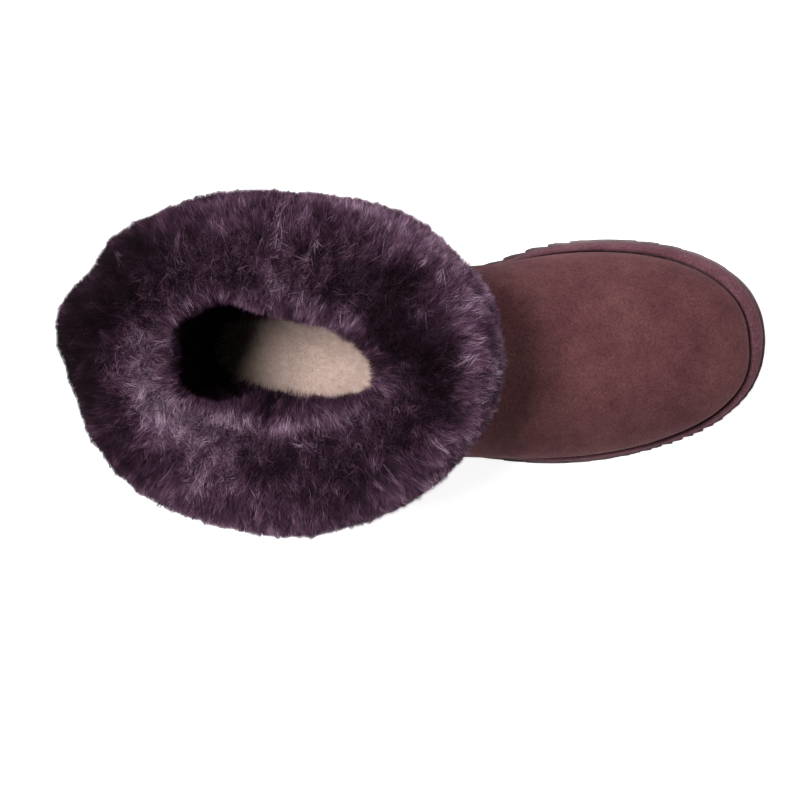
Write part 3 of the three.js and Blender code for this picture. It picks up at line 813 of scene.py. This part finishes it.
def shade_upper(mesh, band_skin):
    """Paints shade on the upper: the shadow of the crease where it meets the band, and a little towards its
    outer side and toe, which turn from the light."""
    points = points_of(mesh)
    # Painted shadow of the crease where the upper meets the band
    painted_band_shadow = np.where(points[:, 2] < 45, 0.75 * bell(away(band_skin, points) / 1.2), 0)
    # Painted shade towards the outer side and the toe, which turn from the light
    outer = 0.13 * np.interp(points[:, 1], [-38, -8], [1, 0])
    painted_side_shade = outer + 0.09 * np.interp(points[:, 0], [145, 205], [0, 1])
    store_painted_shade(mesh, np.maximum(painted_band_shadow, painted_side_shade))


upper_mesh = folded_upper()
upper_skin = skin_of(upper_mesh)
band_mesh = tucked_band(upper_skin)
shade_upper(upper_mesh, skin_of(band_mesh))
patch_mesh = smooth_copy("heel_counter", 2)
insole_mesh = smooth_copy("insole", 3)
finished("upper_suede", upper_mesh, vamp_suede, "upper")
finished("suede_band", band_mesh, band_suede, "foxing")
finished("heel_patch", patch_mesh, band_suede, "heel_counter")
finished("insole_felt", insole_mesh, cream_felt, "insole")


# Seams and stitches


def evenly(points, outs, pitch):
    """A line of points and the outward ways on it, at even steps along the line."""
    run = lengths_along(points)
    steps = np.arange(pitch / 2, run[-1], pitch)
    return stepped(points, run, steps), unit(stepped(outs, run, steps))


def sides_of(points, outs):
    """The way to one side of a line on a surface."""
    return unit(np.cross(outs, unit(np.gradient(points, axis=0))))


def beside(skin, points, outs, shift, clear=6):
    """A line on the surface next to another one."""
    return met(skin, points + sides_of(points, outs) * shift + outs * clear, -outs)


def piping(name, points, outs, rings=8):
    """A rounded seam, half sunk in the surface that it runs over."""
    points, outs = evenly(points, outs, 1.2)
    points = blurred(points, 1.5, 0, False)
    round_it = level_ways(rings)
    loop = sides_of(points, outs)[:, None] * round_it[:, :1] + outs[:, None] * round_it[:, 1:2]
    from_end = np.minimum(np.arange(len(points)), np.arange(len(points))[::-1])
    taper = np.minimum(1, from_end / 3 + 0.05)
    radius = (SEAM_THICK / 2 * taper)[:, None, None]
    rows = points[:, None] - outs[:, None] * (0.2 * SEAM_THICK) + loop * radius
    return wrapped(name, rows, ring=False)


def one_stitch():
    """A short rounded bar along x that stands a little off the surface and dips into it at both ends, as its
    points and the corners of its faces."""
    shape = bmesh.new()
    bmesh.ops.create_cone(
        shape,
        cap_ends=True,
        cap_tris=True,
        segments=4,
        radius1=STITCH_THICK / 2,
        radius2=STITCH_THICK / 2,
        depth=0.6 * STITCH_LENGTH,
        matrix=Matrix.Rotation(math.pi / 2, 4, "Y"),
    )
    for vert in shape.verts:
        if vert.co.yz.length < STITCH_THICK / 4:
            vert.co = (math.copysign(STITCH_LENGTH / 2, vert.co.x), 0, -STITCH_DIP)
        else:
            vert.co.z += STITCH_LIFT
    bmesh.ops.triangulate(shape, faces=shape.faces)
    bmesh.ops.recalc_face_normals(shape, faces=shape.faces)
    points = np.array([vert.co for vert in shape.verts])
    faces = np.array([[vert.index for vert in face.verts] for face in shape.faces])
    shape.free()
    return points, faces


def stitches(name, lines):
    """The one stitch repeated along each line, as one mesh."""
    lines = [evenly(points, outs, STITCH_PITCH) for points, outs in lines]
    spot, out = [np.concatenate(parts)[:, None] for parts in zip(*lines)]
    way = np.concatenate([unit(np.gradient(points, axis=0)) for points, outs in lines])[:, None]
    side = unit(np.cross(out, way))
    points, faces = one_stitch()
    along, across, up = points.T[:, None, :, None]
    corners = spot + way * along + side * across + out * up
    every = faces + len(points) * np.arange(len(spot))[:, None, None]
    mesh = bpy.data.meshes.new(name)
    mesh.from_pydata((corners.reshape(-1, 3) / 1000).tolist(), [], every.reshape(-1, 3).tolist())
    mesh.shade_smooth()
    return mesh


def vamp_line():
    """The seam between vamp and shaft: over the instep and down and back to the band on both sides."""
    turn = np.radians(np.linspace(-101, 101, 160))[:, None]
    ways = np.cos(turn) * np.array([0.55, 0, 0.83]) + np.sin(turn) * np.array([0, 1.0, 0])
    return met(upper_skin, np.array([58, -3, 48]) + ways * 110, -ways)


def side_line(side):
    """The seam up one side of the shaft, from the band to under the cuff."""
    share = np.linspace(0, 1, 90)
    starts = np.stack([53 - 24 * share**0.8, np.full(90, side * 120.0), 33 + 114 * share], axis=-1)
    return met(upper_skin, starts, np.tile([0, -side, 0.0], (90, 1)))


def back_line():
    """The seam up the back of the shaft, from the heel patch to under the cuff."""
    height = np.linspace(80, 147, 50)
    starts = np.stack([np.full(50, -120.0), np.full(50, -4.0), height], axis=-1)
    return met(upper_skin, starts, np.tile([1.0, 0, 0], (50, 1)))


def patch_line(skin):
    """The edge of the heel patch, from the band over the back of the heel and down to the band again."""
    heights = np.arange(86, 33, -0.4)
    points, outs = [], []
    for turn in np.radians(np.arange(40, 321, 1.5)):
        way = np.array([np.cos(turn), np.sin(turn), 0])
        starts = np.array([6, -4, 0]) + way * 120 + heights[:, None] * np.array([0, 0, 1.0])
        for start in starts.tolist():
            spot = skin.ray_cast(start, (-way).tolist(), 112)[0]
            if spot:
                points.append(spot)
                outs.append(way)
                break
    return blurred(np.array(points), 1.5, 0, False), np.array(outs)


seams = {
    "vamp_seam": vamp_line(),
    "inner_side_seam": side_line(1),
    "outer_side_seam": side_line(-1),
    "back_seam": back_line(),
}
stitch_lines = []
for name, (points, outs) in seams.items():
    finished(name, piping(name, points, outs), vamp_suede, "upper")
    for shift in (-ROWS_APART / 2, ROWS_APART / 2):
        stitch_lines.append(beside(upper_skin, points, outs, shift))
patch_skin = skin_of(patch_mesh)
edge_points, edge_outs = patch_line(patch_skin)
edge_sides = sides_of(edge_points, edge_outs)
downwards = -1 if edge_sides[len(edge_sides) // 2][2] > 0 else 1
for shift in PATCH_ROWS:
    stitch_lines.append(beside(patch_skin, edge_points, edge_outs, downwards * shift, 8))
finished("upper_stitches", stitches("upper_stitches", stitch_lines), seam_thread, "upper")


# Side of the sole


def toe_spring(x):
    """How far the toe end of the sole is lifted."""
    return SPRING_RISE * np.clip((x - SPRING_START) / (SOLE_TOE - SPRING_START), 0, 1) ** 2


def waist_share(x):
    """How far a place is along the waist of the sole, from 0 at the heel to 1 at the ball."""
    return np.clip((x - WAIST_START) / WAIST_LENGTH, 0, 1)


def ledge(x):
    """The height of the ledge that the band stands on."""
    return toe_spring(x) + HEEL_LEDGE - LEDGE_FALL * eased(waist_share(x))


def underside(x):
    """The height of the sole's underside, at its rim."""
    return toe_spring(x) + ARCH_RISE * np.sin(np.pi * waist_share(x))


def band_foot(columns):
    """A line round the band just over the ledge, in even steps, with how far along it each point lies and its
    whole length."""
    band = skin_of(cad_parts["foxing"].data)
    ways = level_ways(columns)
    starts = SOLE_MIDDLE + ways * 300
    starts[:, 2] = 22
    for _ in range(3):
        loop = hits(band, starts, -ways)
        starts[:, 2] = ledge(loop[:, 0]) + 1.6
    loop = blurred(loop, 11, 0, True)
    closed = np.concatenate([loop, loop[:1]])
    run = lengths_along(closed)
    steps = np.linspace(0, run[-1], columns, endpoint=False)
    return stepped(closed, run, steps), steps, run[-1]


def edge_reach(loop, out, heights):
    """How far the solid sole's edge stands out of a line round the band, with its steps partly filled: least
    at the inner side of the ball, where the photograph shows them most."""
    sole = skin_of(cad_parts["outsole"].data)
    starts = loop + out * 12
    starts[:, 2] = heights
    reach = ((hits(sole, starts, -out) - loop) * out).sum(axis=1)
    reach = np.where(np.isnan(reach) | (np.abs(reach) > 4), 1, reach)
    crests = np.max([np.roll(reach, shift) for shift in range(-14, 15, 2)], axis=0)
    filled = np.where(loop[:, 1] > 0, np.interp(loop[:, 0], [150, 205], [0.3, 0.85]), 0.8)
    return reach + filled * (blurred(crests, 10, 0, True) - reach)


def sole_side(columns=1600):
    """The moulded side of the sole: its stepped edge, with fine upright ribs between a channel and the bevel,
    and a plain lip over them that runs in under the band. At the outer side of the toe the ribs nick the
    lip."""
    loop, steps, whole = band_foot(columns)
    out = outwards_of(loop)
    top, low = ledge(loop[:, 0]), underside(loop[:, 0]) + 2.4
    middle = (top + low) / 2
    reach = edge_reach(loop, out, middle)
    rib = (steps / (whole / round(whole / RIB_PITCH))) % 1
    rib = np.minimum(rib / 0.88, (1 - rib) / 0.12)
    nick = 0.9 * bell((direction_of(loop, TOE_MIDDLE) + 42) / 24) * (rib - 0.6)
    # Up the side: height, how far it stands out of the solid's edge, and its share of the ribs
    profile = [
        (low + 0.8, -1.1, 0), (low, 0.08, 0), (low + 0.5, 0.16, 0.6), (middle - 0.9, 0.16, 1),
        (top - 2.9, 0.16, 1), (top - 2.5, 0.1, 0.3), (top - 2.2, 0.06, 0), (top - 1.8, 0.06, 0),
        (top - 1.5, 0.3, 0), (top - 1.1, 0.5, 0), (top - 0.4, 0.5, 0), (top + 0.02, 0.4, 0),
        (top + 0.16, -0.1, 0), (top + 0.18, -0.9, 0), (top - 0.6, -1.1, 0),
    ]
    rows = []
    for height, shift, ribbed in profile:
        on_lip = shift > 0.2
        row = loop + out * (reach + shift + RIB_DEPTH * ribbed * rib + on_lip * nick)[:, None]
        row[:, 2] = height
        rows.append(row)
    return wrapped("sole_side", np.array(rows))


finished("sole_sidewall", sole_side(), sole_foam, None)
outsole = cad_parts["outsole"]
outsole.data.materials.clear()
outsole.data.materials.append(sole_foam)


# Footbed


def footbed_fleece(count, name, mesh):
    """Short matted fleece over the top of the insole, thinner in front of the mouth, where it is hidden."""
    mesh.calc_loop_triangles()
    corners = points_of(mesh)[np.array([t.vertices[:] for t in mesh.loop_triangles])]
    normals = np.cross(corners[:, 1] - corners[:, 0], corners[:, 2] - corners[:, 0])
    size = np.linalg.norm(normals, axis=1)
    on_top = np.where(normals[:, 2] > 0.5 * size, size, 0)
    weights = on_top * np.where(corners[:, :, 0].max(axis=1) < 85, 1, 0.3)
    face = chance.choice(len(size), count, p=weights / weights.sum())
    u, v = chance.random((2, count, 1))
    u, v = np.where(u + v > 1, 1 - u, u), np.where(u + v > 1, 1 - v, v)
    root = corners[face, 0] * (1 - u - v) + corners[face, 1] * u + corners[face, 2] * v

    def drift(patches_along, patches_across):
        return mottle((root[:, 0] + 60) / 300, (root[:, 1] + 60) / 120, patches_along, patches_across)

    turn = 6.3 * chance.random(count) + 1.5 * drift(60, 24)
    lean = np.clip(1.2 + 0.15 * chance.normal(size=count), 0.8, 1.4)
    way = np.stack([np.cos(turn) * np.sin(lean), np.sin(turn) * np.sin(lean), np.cos(lean)], axis=-1)
    side = unit(np.cross(way, chance.normal(size=(count, 3))))
    tint = 0.5 + 0.12 * drift(24, 10) + 0.08 * chance.normal(size=count)
    tip = root + way * (FOOTBED_LENGTH + 0.3 * chance.normal(size=(count, 1)))
    return hairs(name, root - [0, 0, 0.3], tip, side, FOOTBED_WIDTH, tint)


footbed_mesh = footbed_fleece(INSOLE_HAIRS, "fleece", insole_mesh)
finished("insole_fleece", footbed_mesh, cream_fleece, "insole")


# Stage, in metres


def studio_floor(size=4):
    """A sheet of white paper under the boot."""
    ground = bmesh.new()
    bmesh.ops.create_grid(ground, x_segments=1, y_segments=1, size=size)
    mesh = bpy.data.meshes.new("floor")
    ground.to_mesh(mesh)
    ground.free()
    mesh.materials.append(backdrop_paper)
    floor = bpy.data.objects.new("floor", mesh)
    bpy.context.scene.collection.objects.link(floor)
    return floor


def softbox(name, place, size, power, aim=(0.05, 0, 0.1)):
    """A square studio light that faces the boot."""
    light = bpy.data.lights.new(name, "AREA")
    light.shape = "SQUARE"
    light.size = size
    light.energy = power
    lamp = bpy.data.objects.new(name, light)
    lamp.location = place
    lamp.rotation_euler = (Vector(aim) - Vector(place)).to_track_quat("-Z", "Y").to_euler()
    bpy.context.scene.collection.objects.link(lamp)


def studio_air(strength):
    """Even white light from all round."""
    sky = bpy.data.worlds.new("studio")
    sky.use_nodes = True
    background = sky.node_tree.nodes["Background"]
    background.inputs["Color"].default_value = (1, 1, 1, 1)
    background.inputs["Strength"].default_value = strength
    bpy.context.scene.world = sky


def overhead_camera(place, turn, focal):
    """The photograph's camera, a metre above the boot and almost straight over it."""
    lens = bpy.data.cameras.new("camera")
    lens.lens = focal
    camera = bpy.data.objects.new("camera", lens)
    camera.location = place
    camera.rotation_euler = turn
    bpy.context.scene.collection.objects.link(camera)
    bpy.context.scene.camera = camera


floor = studio_floor()
softbox("key", (-0.24, 0.125, 1.6), 0.28, 38)
softbox("side", (0.3, 1.4, 1.2), 1.0, 8)
softbox("fill", (0.6, -1.4, 1.0), 1.4, 0.8)
studio_air(0.25)
overhead_camera(place=(0.09788, 0.02157, 1.0705), turn=(-0.04458, 0.03429, -0.00046), focal=99.87)
bpy.context.scene.view_settings.view_transform = "Standard"
